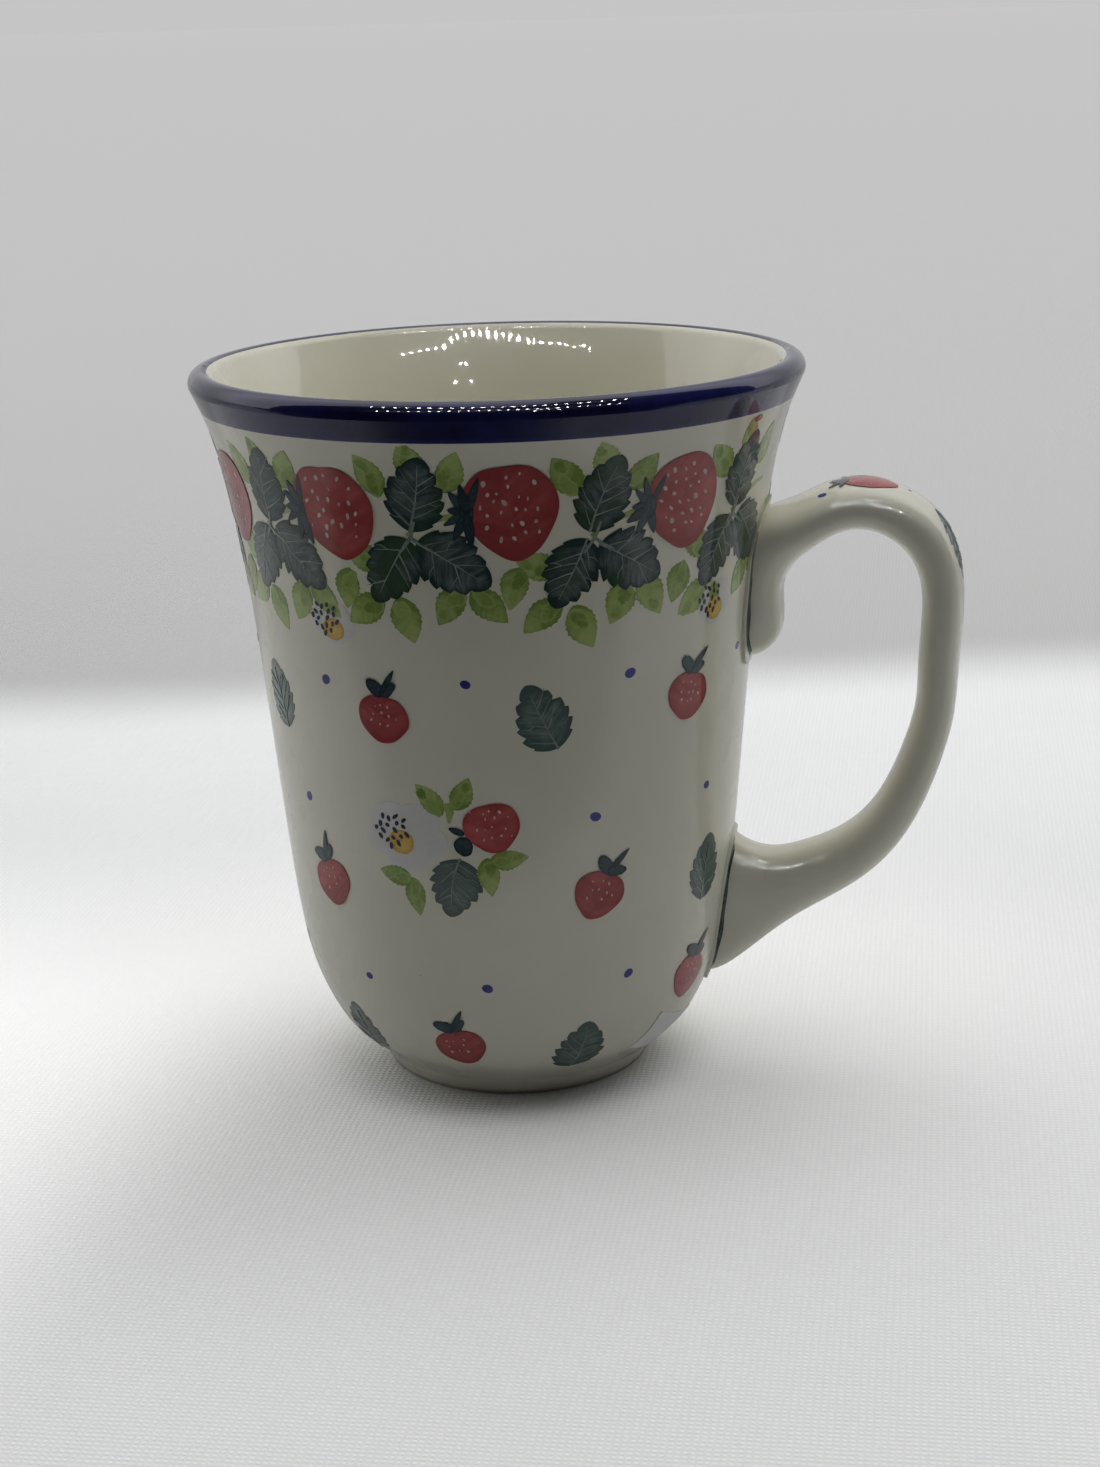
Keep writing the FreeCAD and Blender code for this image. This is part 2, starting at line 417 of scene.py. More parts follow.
def paint_calyx(place, size, turn, fingers=7, sweep=250):
    """A tuft of dark strokes that spread from the top of a berry, longest to its two sides."""
    calyxes.patch(place, wobble(oval_outline(0.46 * size, 0.26 * size, 24), 0.08), turn, 0.5, rings=2)
    for k in range(fingers):
        away = ((k + 0.5) / fingers - 0.5) * sweep + hand.uniform(-10, 10)
        length = size * (0.36 + 0.30 * abs(math.sin(math.radians(away)))) * hand.uniform(0.85, 1.15)
        x, y = turned(0, 0.45 * length, turn + away)
        finger = leaf_outline(hand.uniform(0.13, 0.20) * size, length, 3, 0.0, 0.7)
        calyxes.patch(shifted(place, x, y), finger, turn + away, hand.random(), rings=3)


def paint_topped_berry(around, level, size, turn, lean):
    """A small berry with two rounded lobes on top and a thin stalk leaf."""
    place = wall_spot(around, level)
    paint_berry(place, size * 0.86, size * 0.84, turn, size * 0.140, size * 0.050, 0.66)
    x, y = turned(hand.uniform(-0.06, 0.06) * size, 0.42 * size, turn)
    top = shifted(place, x, y)
    for side, wide, long in ((-1, 0.24, 0.36), (1, 0.20, 0.34)):
        tilt = turn + lean - side * hand.uniform(52, 72)
        x, y = turned(0, 0.40 * long * size, tilt)
        lobe = wobble(leaf_outline(wide * size, long * size, 3, 0.0, 0.5), 0.05)
        calyxes.patch(shifted(top, x, y), lobe, tilt, hand.random(), rings=3)
    tilt = turn + lean + hand.uniform(-38, -22)
    x, y = turned(0, 0.24 * size, tilt)
    stalk = leaf_outline(0.11 * size, 0.50 * size, 3, 0.0, 0.8)
    calyxes.patch(shifted(top, x, y), stalk, tilt, 0.2, rings=3)


def paint_flower(place, width, height, size, turn=0.0):
    """White petals, a yellow heart low on the right and navy stamens above it."""
    petals.patch(shifted(place, 0.10 * width, 0), petal_outline(width, height), turn, hand.random(), rings=5)
    heart = wobble(oval_outline(0.92 * size, 0.80 * size, 28), 0.03)
    centres.patch(shifted(place, 0.16 * size, -0.24 * size), heart, turn, 0.5, rings=3)
    for k in range(STAMENS):
        a = math.tau * (k * GOLDEN_TURN)
        reach = size * (0.10 + 0.50 * math.sqrt(k / STAMENS))
        spot = (reach * math.cos(a) - 0.14 * size, reach * math.sin(a) + 0.14 * size)
        dab = wobble(oval_outline(0.13 * size, 0.20 * size * hand.uniform(0.8, 1.3), 12), 0.06)
        stamens.patch(shifted(place, *spot), dab, hand.uniform(-50, 50), 0.5, rings=1)


def paint_dot(around, level):
    size = 1.65 * hand.uniform(0.85, 1.15)
    dots.patch(wall_spot(around, level), wobble(oval_outline(size, size * 0.86, 18), 0.03),
               hand.uniform(-40, 40), hand.random(), rings=2)


def paint_garland_unit(around, level, berry_turn, berry_at=(15.6, 4.2)):
    """Three dark leaves that meet at one point, then a berry with its tuft to the right.

    No berry is painted if its place is None."""
    joint = wall_spot(around, level)
    paint_leaf(dark_leaves, shifted(joint, 1.4, 7.0), 9.6, 12.6, hand.uniform(-22, -8))
    paint_leaf(dark_leaves, shifted(joint, -3.6, -5.4), 9.2, 12.0, 150 + hand.uniform(-8, 8))
    paint_leaf(dark_leaves, shifted(joint, 6.2, -4.2), 10.2, 12.6, 232 + hand.uniform(-8, 8))
    if berry_at is not None:
        right, up = berry_at
        paint_calyx(shifted(joint, right - 6.6, up - 0.2), 8.6, 86 + hand.uniform(-10, 10))
        paint_berry(shifted(joint, right, up), 14.0, 15.8, berry_turn, 1.88, 0.88)
    stem = [(-0.6, 0.4), (1.6, 1.8), (4.4, 3.0), (7.2, 3.8), (10.0, 4.0)]
    light_leaves.stroke(joint, stem, [0.5, 0.8, 0.9, 0.8, 0.5], 0, 0.3)
    veins.stroke(joint, [(-1.6, -2.2), (0, 0), (0.9, 2.6)], [0.35, 0.6, 0.35])
    veins.stroke(joint, [(0, 0), (1.5, -1.1), (3.2, -2.0)], [0.5, 0.5, 0.3])
    for right, up, width, length, turn in LEAFLETS:
        paint_leaflet(shifted(joint, right + hand.uniform(-0.6, 0.6), up + hand.uniform(-0.5, 0.5)),
                      width, length, turn + hand.uniform(-9, 9))


# Leaflets about each garland joint: mm right, mm up, width, length and lean.
LEAFLETS = [(-5.4, 9.8, 5.0, 7.8, 36), (1.2, 12.4, 4.6, 6.0, 8), (7.2, 10.2, 4.8, 7.4, -34),
            (-8.8, -3.8, 4.8, 7.2, 58), (-8.2, -12.0, 5.2, 7.6, 132), (-1.8, -13.8, 5.0, 7.8, 200),
            (4.8, -11.2, 5.0, 7.2, 150), (10.6, -10.4, 5.0, 7.6, 214), (15.4, -8.6, 4.8, 7.0, 166)]


def paint_cluster(around, level):
    """A flower, a berry and a leaf among leaflets."""
    place = wall_spot(around, level)
    paint_flower(shifted(place, -9.6, 0.6), 14.8, 12.0, 5.0)
    paint_berry(shifted(place, 6.2, 2.6), 8.6, 8.8, 8, 1.45, 0.5)
    calyxes.patch(shifted(place, 1.6, -0.6), wobble(oval_outline(2.9, 3.4, 24), 0.06), 0, 0.7, rings=3)
    calyxes.patch(shifted(place, 0.6, 1.9), leaf_outline(1.1, 2.7, 3, 0.0), 68, 0.2, rings=3)
    paint_leaf(grey_leaves, shifted(place, -0.2, -7.8), 8.8, 10.4, 168)
    paint_leaflet(shifted(place, -3.6, 7.0), 3.8, 6.6, 40)
    paint_leaflet(shifted(place, 1.8, 8.2), 3.8, 6.0, -24)
    light_leaves.stroke(place, [(-0.6, 6.6), (-0.3, 5.0), (-0.5, 3.2)], [1.9, 1.3, 0.5])
    paint_leaflet(shifted(place, 8.6, -2.8), 3.6, 6.2, -84)
    paint_leaflet(shifted(place, 5.4, -5.8), 3.8, 6.6, 184)
    paint_leaflet(shifted(place, -10.2, -6.6), 3.6, 6.2, 76)
    paint_leaflet(shifted(place, -6.8, -9.8), 3.6, 6.8, 188)


FRONT = -80                     # middle of the front, in degrees round from the handle
PLACES = 10                     # places round the cup in every row
PITCH = 360 / PLACES
FLOWERS = 4

# Each row of scattered motifs: its height as a share of the cup's, how many degrees its first place
# lies to the right of the middle of the front, and what is painted at each place in turn.
ROWS = [(0.63, -45, ["dot"]),
        (0.58, 9, ["leaf", "berry"]),
        (0.44, 18, ["dot", "dot", "dot", "dot", None]),
        (0.33, 21, ["berry", "leaf", None, "berry", "cluster"]),
        (0.205, -42, ["dot"]),
        (0.10, 18, ["leaf", "berry"])]


def under_handle(around, level):
    """True where the handle's foot or head covers the wall."""
    away = abs((around + 180) % 360 - 180)
    return away < 17 and (level < 48 or level > 64)


def above_label(around, level):
    """The level itself, or one that clears the paper label if the label is in the way."""
    low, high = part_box("price_label")
    middle = math.degrees(math.atan2(low.y + high.y, low.x + high.x))
    return max(level, high.z / MM + 5.3) if abs(around - middle) < 22 else level


def paint_motif(kind, around, level):
    """One scattered motif, set down a little off its place as a hand would."""
    around += hand.uniform(-2, 2)
    level += hand.uniform(-0.8, 0.8)
    if kind == "dot":
        paint_dot(around, level)
    elif kind == "leaf":
        place = wall_spot(around, above_label(around, level))
        paint_leaf(grey_leaves, place, 9.2, 11.6, hand.uniform(-26, 26))
    elif kind == "berry":
        level = above_label(around, level)
        paint_topped_berry(around, level, 9.9, hand.uniform(-28, 28), hand.uniform(-8, 8))
    elif kind == "cluster":
        paint_cluster(around, level + 0.085 * CUP_HEIGHT)


def paint_wall():
    """All the decoration on the outside wall."""
    for k in range(PLACES):
        around = FRONT - 1.5 * PITCH + k * PITCH
        berry = None if under_handle(around + 0.6 * PITCH, GARLAND_LEVEL) else (15.6, 4.2)
        paint_garland_unit(around, GARLAND_LEVEL + hand.uniform(-1, 1), hand.uniform(-20, 20), berry)
    stray = wall_spot(FRONT + 1.5 * PITCH + 2, CUP_HEIGHT - 6.8)
    berries.patch(stray, oval_outline(2.2, 1.0), 8, 0.1, rings=2)
    for k in range(FLOWERS):
        paint_flower(wall_spot(FRONT - 40 + k * 360 / FLOWERS, 0.705 * CUP_HEIGHT), 8.4, 7.6, 4.6)
    for share, first, kinds in ROWS:
        for k in range(PLACES):
            around = FRONT + first + k * PITCH
            if not under_handle(around, share * CUP_HEIGHT):
                paint_motif(kinds[k % len(kinds)], around, share * CUP_HEIGHT)


def paint_handle():
    """A berry on top of the handle, a dot on each shoulder and behind it, and a leaf down the outside."""
    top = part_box("handle")[1].z / MM
    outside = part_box("handle")[1].x / MM
    crown = cast_spot((60.4, -1.8, top), (0.05, -0.30, 1), (-1, 0, 0.05))
    paint_berry(crown, 6.6, 9.0, 0, 1.5, 0.40)
    paint_calyx(shifted(crown, 0, 4.0), 5.6, 0, 6, 190)
    for side in (-1, 1):
        dots.patch(cast_spot((54.2, side * 4.4, top - 5), (-0.40, side * 0.35, 1), (0, 0, 1)),
                   oval_outline(3.4, 2.6, 18), -20 * side, 0.4, rings=2)
    behind = cast_spot((66.8, 0, top - 2), (0.5, 0, 1), (0, 0, 1))
    dots.patch(behind, oval_outline(2.2, 1.4, 18), 0, 0.4, rings=2)
    down = cast_spot((outside, -2.0, top - 9.6), (1, -0.24, 0.42), (-0.42, 0, 1))
    paint_leaf(grey_leaves, down, 6.2, 12.5, 176)


def paint_seams():
    """A dark brushed line down each side of both joints."""
    for low, high, wide in ((71.0, 93.0, 0.75), (15.6, 39.6, 1.05)):
        half_widths = joint_half_widths(low, high)
        for sign in (-1, 1):
            place = seam_spot(sign, low, half_widths)
            steps = 48
            path = []
            widths = []
            for k in range(steps + 1):
                t = k / steps
                path.append((0.0, t * (high - low)))
                uneven = 0.14 * math.sin(9 * t + sign) + 0.08 * math.sin(23 * t)
                widths.append(0.25 + (wide + uneven) * math.sin(math.pi * (0.10 + 0.86 * t)) ** 0.6)
            seams.stroke(place, path, widths, 0, 0.5)


# ---------------------------------------------------------------- materials

class Graph:
    """A node material under construction."""

    def __init__(self, name):
        self.material = bpy.data.materials.new(name)
        self.material.use_nodes = True
        self.tree = self.material.node_tree
        self.shader = self.tree.nodes["Principled BSDF"]

    def node(self, kind, settings=None, **inputs):
        made = self.tree.nodes.new(kind)
        for key, value in (settings or {}).items():
            setattr(made, key, value)
        for key, value in inputs.items():
            self.put(made.inputs[key.replace("_", " ")], value)
        return made

    def put(self, socket, value):
        if isinstance(value, bpy.types.NodeSocket):
            self.tree.links.new(value, socket)
        else:
            socket.default_value = value

    def place(self):
        return self.node("ShaderNodeTexCoord").outputs["Object"]

    def noise(self, vector, scale, detail=3.0, rough=0.55):
        return self.node("ShaderNodeTexNoise", Vector=vector, Scale=scale, Detail=detail,
                         Roughness=rough).outputs["Fac"]

    def maths(self, operation, a, b=0.0, clamp=False):
        made = self.node("ShaderNodeMath", {"operation": operation, "use_clamp": clamp})
        self.put(made.inputs[0], a)
        self.put(made.inputs[1], b)
        return made.outputs[0]

    def spread(self, value, low, high, to_low=0.0, to_high=1.0):
        made = self.node("ShaderNodeMapRange", {"interpolation_type": "SMOOTHSTEP"})
        for key, v in zip(("Value", "From Min", "From Max", "To Min", "To Max"),
                          (value, low, high, to_low, to_high)):
            self.put(made.inputs[key], v)
        return made.outputs["Result"]

    def mix(self, factor, a, b):
        made = self.node("ShaderNodeMix", {"data_type": "RGBA"})
        self.put(made.inputs[0], factor)
        self.put(made.inputs[6], a)
        self.put(made.inputs[7], b)
        return made.outputs[2]

    def glaze_over(self, colour, place, sheen=0.04):
        """The clear glossy glaze, very slightly uneven, that covers clay and paint alike."""
        ripple = self.noise(place, 45.0, 1.0)
        peel = self.noise(place, 900.0, 2.0)
        height = self.maths("ADD", ripple, self.maths("MULTIPLY", peel, 0.015))
        bump = self.node("ShaderNodeBump", Strength=0.07, Distance=0.0006, Height=height)
        self.put(self.shader.inputs["Base Color"], colour)
        worn = self.spread(self.noise(place, 140.0), 0.3, 0.7, 0.24, 0.34)
        self.put(self.shader.inputs["Roughness"], worn)
        self.put(self.shader.inputs["Normal"], bump.outputs["Normal"])
        self.put(self.shader.inputs["Coat Normal"], bump.outputs["Normal"])
        self.shader.inputs["Coat Weight"].default_value = 1.0
        self.shader.inputs["Coat Roughness"].default_value = sheen
        self.shader.inputs["Coat IOR"].default_value = 1.5
        self.shader.inputs["Specular IOR Level"].default_value = 0.03
        return self.material


def rgb(r, g, b):
    return (r, g, b, 1.0)


def cream_glaze():
    """Warm white glaze: cloudy tone, scattered iron specks, bare clay where the mug stands."""
    g = Graph("cream_glaze")
    place = g.place()
    height = g.node("ShaderNodeSeparateXYZ", Vector=place).outputs["Z"]
    cloud = g.spread(g.noise(place, 28.0, 4.0), 0.3, 0.7)
    cream = g.mix(cloud, rgb(0.735, 0.717, 0.588), rgb(0.785, 0.767, 0.648))
    cells = g.node("ShaderNodeTexVoronoi", Vector=place, Scale=210.0)
    chosen = g.node("ShaderNodeSeparateColor", Color=cells.outputs["Color"])
    size = g.maths("MULTIPLY", g.maths("SUBTRACT", chosen.outputs["Red"], 0.72), 0.16)
    speck = g.maths("LESS_THAN", cells.outputs["Distance"], size)
    faint = g.maths("MULTIPLY", speck, g.spread(chosen.outputs["Green"], 0.0, 1.0, 0.15, 0.75))
    spotted = g.mix(faint, cream, rgb(0.20, 0.17, 0.13))
    ragged = g.maths("MULTIPLY", g.noise(place, 300.0), 0.0008)
    foot = g.spread(g.maths("ADD", height, ragged), 0.0008, 0.0016)
    clay = g.mix(g.noise(place, 700.0, 5.0), rgb(0.42, 0.38, 0.30), rgb(0.60, 0.56, 0.47))
    return g.glaze_over(g.mix(foot, clay, spotted), place)


def cobalt_glaze():
    """Deep blue, thinner and lighter where it broke over the edges."""
    g = Graph("cobalt_glaze")
    place = g.place()
    height = g.node("ShaderNodeSeparateXYZ", Vector=place).outputs["Z"]
    uneven = g.noise(place, 90.0, 4.0)
    blue = g.mix(g.spread(uneven, 0.35, 0.7), rgb(0.005, 0.005, 0.045), rgb(0.012, 0.014, 0.10))
    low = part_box("rim_band")[0].z
    ragged = g.maths("ADD", height, g.maths("MULTIPLY", uneven, 0.0006))
    edge = g.spread(ragged, low, low + 0.0012, 1.0, 0.0)
    return g.glaze_over(g.mix(g.maths("MULTIPLY", edge, 0.5), blue, rgb(0.03, 0.04, 0.22)), place, 0.03)


def slip_glaze():
    """The pooled glaze in the joints, a little grey."""
    g = Graph("joint_slip")
    place = g.place()
    cloud = g.spread(g.noise(place, 160.0, 4.0), 0.3, 0.7)
    return g.glaze_over(g.mix(cloud, rgb(0.62, 0.615, 0.515), rgb(0.73, 0.72, 0.60)), place)


def brushed_paint(name, deep, pale, tinge=None, streak=9.0, patch=260.0, lean=0.0, edge=0.30):
    """Transparent brushed colour: streaks that run out from the midrib, pooled and darker at the edge.

    The tinge is a third colour that shows through in places."""
    g = Graph(name)
    place = g.place()
    brush = g.node("ShaderNodeAttribute", {"attribute_name": "brush"})
    part = g.node("ShaderNodeSeparateXYZ", Vector=brush.outputs["Vector"])
    across, along, tint = part.outputs["X"], part.outputs["Y"], part.outputs["Z"]
    rim = g.node("ShaderNodeAttribute", {"attribute_name": "rim"}).outputs["Fac"]
    out = g.maths("ABSOLUTE", across)
    fan = g.maths("SUBTRACT", along, g.maths("MULTIPLY", out, 0.45))
    side = g.maths("GREATER_THAN", across, 0.0)
    stretched = g.node("ShaderNodeCombineXYZ", X=fan, Y=g.maths("MULTIPLY", out, 0.12),
                       Z=g.maths("ADD", g.maths("MULTIPLY", tint, 7.0), side))
    streaks = g.noise(stretched.outputs["Vector"], streak, 4.0, 0.6)
    patches = g.noise(place, patch, 4.0, 0.6)
    tone = g.maths("ADD", g.maths("MULTIPLY", streaks, 0.60), g.maths("MULTIPLY", patches, 0.60))
    tone = g.maths("ADD", tone, g.maths("MULTIPLY", g.maths("SUBTRACT", tint, 0.5), 0.22))
    tone = g.maths("ADD", tone, g.maths("MULTIPLY", along, 0.5 * lean))
    pool = g.maths("POWER", rim, 7.0)
    tone = g.maths("SUBTRACT", tone, g.maths("MULTIPLY", pool, edge))
    colour = g.mix(g.spread(tone, 0.36, 0.84), deep, pale)
    if tinge is not None:
        where = g.spread(g.noise(place, 0.5 * patch, 3.0), 0.48, 0.64, 0.0, 0.85)
        colour = g.mix(where, colour, tinge)
    return g.glaze_over(colour, place)


def label_paper():
    """Slightly yellowed coated paper with a soft sheen and fine fibres."""
    g = Graph("label_paper")
    place = g.place()
    fibre = g.noise(place, 2600.0, 5.0, 0.7)
    tone = g.mix(g.spread(fibre, 0.35, 0.65), rgb(0.80, 0.80, 0.785), rgb(0.89, 0.89, 0.88))
    bump = g.node("ShaderNodeBump", Strength=0.25, Distance=0.0002, Height=fibre)
    g.put(g.shader.inputs["Base Color"], tone)
    g.put(g.shader.inputs["Roughness"], g.spread(fibre, 0.3, 0.7, 0.42, 0.60))
    g.put(g.shader.inputs["Normal"], bump.outputs["Normal"])
    return g.material


def finish_cad_nodes():
    """Gives each CAD node its glaze."""
    looks = {"cream_glaze": cream_glaze(), "cobalt_glaze": cobalt_glaze(),
             "joint_slip": slip_glaze(), "label_paper": label_paper()}
    finish = {"mug_body": "cream_glaze", "handle": "cream_glaze", "rim_band": "cobalt_glaze",
              "upper_joint_slip": "joint_slip", "lower_joint_slip": "joint_slip",
              "price_label": "label_paper"}
    for node, look in finish.items():
        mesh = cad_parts[node].data
        mesh.materials.clear()
        mesh.materials.append(looks[look])


def finish_paint():
    """Turns the painted touches into pieces."""
    dark = brushed_paint("dark_leaf_paint", rgb(0.018, 0.040, 0.041),
                         rgb(0.170, 0.215, 0.200), rgb(0.024, 0.062, 0.022))
    grey = brushed_paint("grey_leaf_paint", rgb(0.075, 0.125, 0.110),
                         rgb(0.245, 0.305, 0.270), rgb(0.085, 0.120, 0.115))
    red = brushed_paint("berry_paint", rgb(0.320, 0.046, 0.048),
                        rgb(0.54, 0.122, 0.112), None, 3.0, 140.0, 0.12, 0.18)
    light = brushed_paint("light_leaf_paint", rgb(0.200, 0.300, 0.060),
                          rgb(0.43, 0.53, 0.19), None, 4.0, 260.0, 0.45, 0.20)
    touch = brushed_paint("leaf_touch_paint", rgb(0.165, 0.260, 0.048),
                          rgb(0.37, 0.47, 0.145), None, 4.0, 300.0, 0.0, -0.35)
    green_black = brushed_paint("calyx_paint", rgb(0.014, 0.032, 0.044), rgb(0.065, 0.100, 0.110))
    line = brushed_paint("seam_paint", rgb(0.025, 0.050, 0.050),
                         rgb(0.105, 0.140, 0.130), None, 3.0, 500.0)
    blue = brushed_paint("blue_paint", rgb(0.022, 0.022, 0.19),
                         rgb(0.07, 0.07, 0.34), None, 4.0, 700.0, 0.0, -0.25)
    navy = brushed_paint("stamen_paint", rgb(0.006, 0.006, 0.020),
                         rgb(0.022, 0.022, 0.050), None, 4.0, 700.0)
    yellow = brushed_paint("yellow_paint", rgb(0.60, 0.36, 0.05),
                           rgb(0.80, 0.58, 0.17), None, 4.0, 500.0)
    white = brushed_paint("white_paint", rgb(0.655, 0.665, 0.635),
                          rgb(0.715, 0.72, 0.695), None, 4.0, 90.0, 0.0, -0.2)
    pale = brushed_paint("seed_paint", rgb(0.50, 0.36, 0.32),
                         rgb(0.74, 0.62, 0.55), None, 4.0, 900.0)
    grey_line = brushed_paint("vein_paint", rgb(0.16, 0.21, 0.18), rgb(0.33, 0.38, 0.34), None, 4.0, 900.0)
    petals.piece("flower_petals", white)
    light_leaves.piece("light_leaves", light)
    leaf_touches.piece("leaf_touches", touch)
    grey_leaves.piece("grey_leaves", grey)
    dark_leaves.piece("dark_leaves", dark)
    veins.piece("leaf_veins", grey_line)
    berries.piece("berries", red)
    seeds.piece("berry_seeds", pale)
    calyxes.piece("berry_tufts", green_black)
    centres.piece("flower_centres", yellow)
    stamens.piece("flower_stamens", navy)
    dots.piece("blue_dots", blue)
    seams.piece("seam_lines", line)


# ---------------------------------------------------------------- stage, light and camera

VIEW_TURN = 10.0                # the eye's side of the mug, in degrees round from -Y
EYE_DISTANCE = 0.4074
EYE_HEIGHT = 0.1736
FLOOR_REACH = 60.0

# The dark hood round the eye's side of the mug, for the glaze to mirror: its two ends in degrees to
# the right as seen from the eye, its distance, and how many degrees above the floor it reaches.
SCREEN_LEFT = -87.0
SCREEN_RIGHT = 104.0
SCREEN_REACH = 0.8
SCREEN_TOP = 80.0


def floor_material():
    """Pale woven cloth that runs out into a grey backdrop.

    Painted shade: the mug is lit by, and mirrors, a cloth darker than the one the camera sees, most of all
    in front.
    Painted light: in front of the mug the cloth also glows faintly for the camera alone, more to the left,
    and not close to the foot."""
    g = Graph("cloth")
    place = g.place()
    part = g.node("ShaderNodeSeparateXYZ", Vector=place)
    x, y = part.outputs["X"], part.outputs["Y"]
    away = g.node("ShaderNodeVectorMath", {"operation": "LENGTH"}, Vector=place).outputs["Value"]
    soft = g.maths("MULTIPLY", g.noise(place, 5.0, 2.0), 0.03)
    weave = []
    for direction in ("X", "Y"):
        made = g.node("ShaderNodeTexWave", {"bands_direction": direction}, Vector=place, Scale=320.0,
                      Distortion=0.9, Detail=1.5)
        weave.append(made.outputs["Fac"])
    thread = g.maths("MULTIPLY", *weave)

    grey = g.spread(g.maths("ADD", away, soft), 0.3, 2.0, 0.510, 0.503)
    backdrop = g.node("ShaderNodeCombineColor", Red=grey, Green=grey, Blue=grey).outputs["Color"]
    beyond = g.maths("SUBTRACT", g.maths("ADD", y, soft), g.maths("MULTIPLY", x, 0.22))
    fades = g.maths("MAXIMUM", g.spread(beyond, 0.232, 0.296), g.spread(away, 0.5, 1.5))
    cloth = g.mix(fades, rgb(0.90, 0.905, 0.91), backdrop)
    cloth = g.mix(g.spread(g.noise(place, 9.0, 3.0), 0.2, 0.8, 0.0, 0.10), cloth, rgb(0.5, 0.5, 0.5))
    cloth = g.mix(g.spread(thread, 0.0, 0.6, 0.09, 0.0), cloth, rgb(0.3, 0.3, 0.3))

    # painted shade: for the mug's bounce light and reflections the cloth is mixed toward near black, more so
    # in front
    path = g.node("ShaderNodeLightPath")
    painted_bounce_shade = g.maths("MAXIMUM", g.spread(y, -0.16, -0.28), 0.18)
    painted_reflection_shade = g.maths("MAXIMUM", g.spread(y, -0.085, -0.125), 0.34)
    shade = g.maths("ADD", g.maths("MULTIPLY", path.outputs["Is Diffuse Ray"], painted_bounce_shade),
                    g.maths("MULTIPLY", path.outputs["Is Glossy Ray"], painted_reflection_shade))
    g.put(g.shader.inputs["Base Color"], g.mix(shade, cloth, rgb(0.04, 0.04, 0.045)))

    # painted light: a faint glow on the cloth in front of the mug, for the camera alone, more to the left
    # and kept off the foot
    ahead = g.maths("MULTIPLY", g.spread(y, 0.12, -0.03), g.spread(away, 0.024, 0.038))
    ahead = g.maths("MULTIPLY", ahead, g.spread(away, 1.0, 0.45))
    left = g.maths("MULTIPLY", g.spread(g.maths("SUBTRACT", x, g.maths("MULTIPLY", y, 0.2)), -0.02, -0.075),
                   g.spread(y, -0.55, -0.20))
    lift = g.maths("MULTIPLY", ahead, g.maths("ADD", g.maths("MULTIPLY", left, 0.24), 0.13))
    lift = g.maths("MULTIPLY", lift, g.spread(thread, 0.0, 0.6, 0.90, 1.03))
    g.shader.inputs["Emission Color"].default_value = rgb(1.0, 1.0, 0.99)
    g.put(g.shader.inputs["Emission Strength"], g.maths("MULTIPLY", lift, path.outputs["Is Camera Ray"]))

    bump = g.node("ShaderNodeBump", Strength=0.30, Distance=0.0004, Height=thread)
    g.put(g.shader.inputs["Normal"], bump.outputs["Normal"])
    g.shader.inputs["Roughness"].default_value = 0.9
    g.shader.inputs["Specular IOR Level"].default_value = 0.1
    return g.material


def sheet_object(name, corners, faces, material):
    mesh = bpy.data.meshes.new(name)
    mesh.from_pydata(corners, [], faces)
    mesh.materials.append(material)
    obj = bpy.data.objects.new(name, mesh)
    bpy.context.scene.collection.objects.link(obj)
    return obj


def toward_eye(side, back, up):
    """A point given by metres to the right, away from the eye, and up, as the eye sees it."""
    a = math.radians(VIEW_TURN)
    return Vector((side * math.cos(a) - back * math.sin(a), side * math.sin(a) + back * math.cos(a), up))


def soft_light(name, spot, target, width, height, power, colour=(1, 1, 1)):
    lamp = bpy.data.lights.new(name, "AREA")
    lamp.shape = "RECTANGLE"
    lamp.size = width
    lamp.size_y = height
    lamp.energy = power
    lamp.color = colour
    obj = bpy.data.objects.new(name, lamp)
    bpy.context.scene.collection.objects.link(obj)
    obj.location = toward_eye(*spot)
    obj.rotation_mode = "QUATERNION"
    obj.rotation_quaternion = (toward_eye(*target) - obj.location).to_track_quat("-Z", "Y")
    obj.visible_camera = False
    return obj


def lamp_strip(name, left, right, rise, count, reach=0.76, size=0.0055):
    """A curved row of small bright lamps over the mug, there for its dotted reflections in the glaze.

    Its ends are in degrees to the right as seen from the eye, its height in degrees above the floor,
    and it sinks a little toward its ends."""
    glow = Graph(name)
    glow.shader.inputs["Base Color"].default_value = rgb(0, 0, 0)
    glow.shader.inputs["Emission Color"].default_value = rgb(1.0, 0.99, 0.96)
    glow.shader.inputs["Emission Strength"].default_value = 320.0
    points = []
    faces = []
    for k in range(count):
        a = math.radians(left + (right - left) * k / (count - 1))
        e = math.radians(rise - 7.0 * (2 * k / (count - 1) - 1) ** 2)
        level = reach * math.cos(e)
        centre = toward_eye(level * math.sin(a), -level * math.cos(a), reach * math.sin(e))
        facing = (Vector((0, 0, 0.08)) - centre).normalized()
        side = facing.cross(Vector((0, 0, 1))).normalized()
        base = len(points)
        points += [centre + size * (side * math.cos(t) + side.cross(facing) * math.sin(t))
                   for t in (math.tau * n / 8 for n in range(8))]
        faces.append([base + n for n in range(8)])
    strip = sheet_object(name, points, faces, glow.material)
    strip.visible_camera = False
    strip.visible_diffuse = False
    strip.visible_shadow = False
    return strip


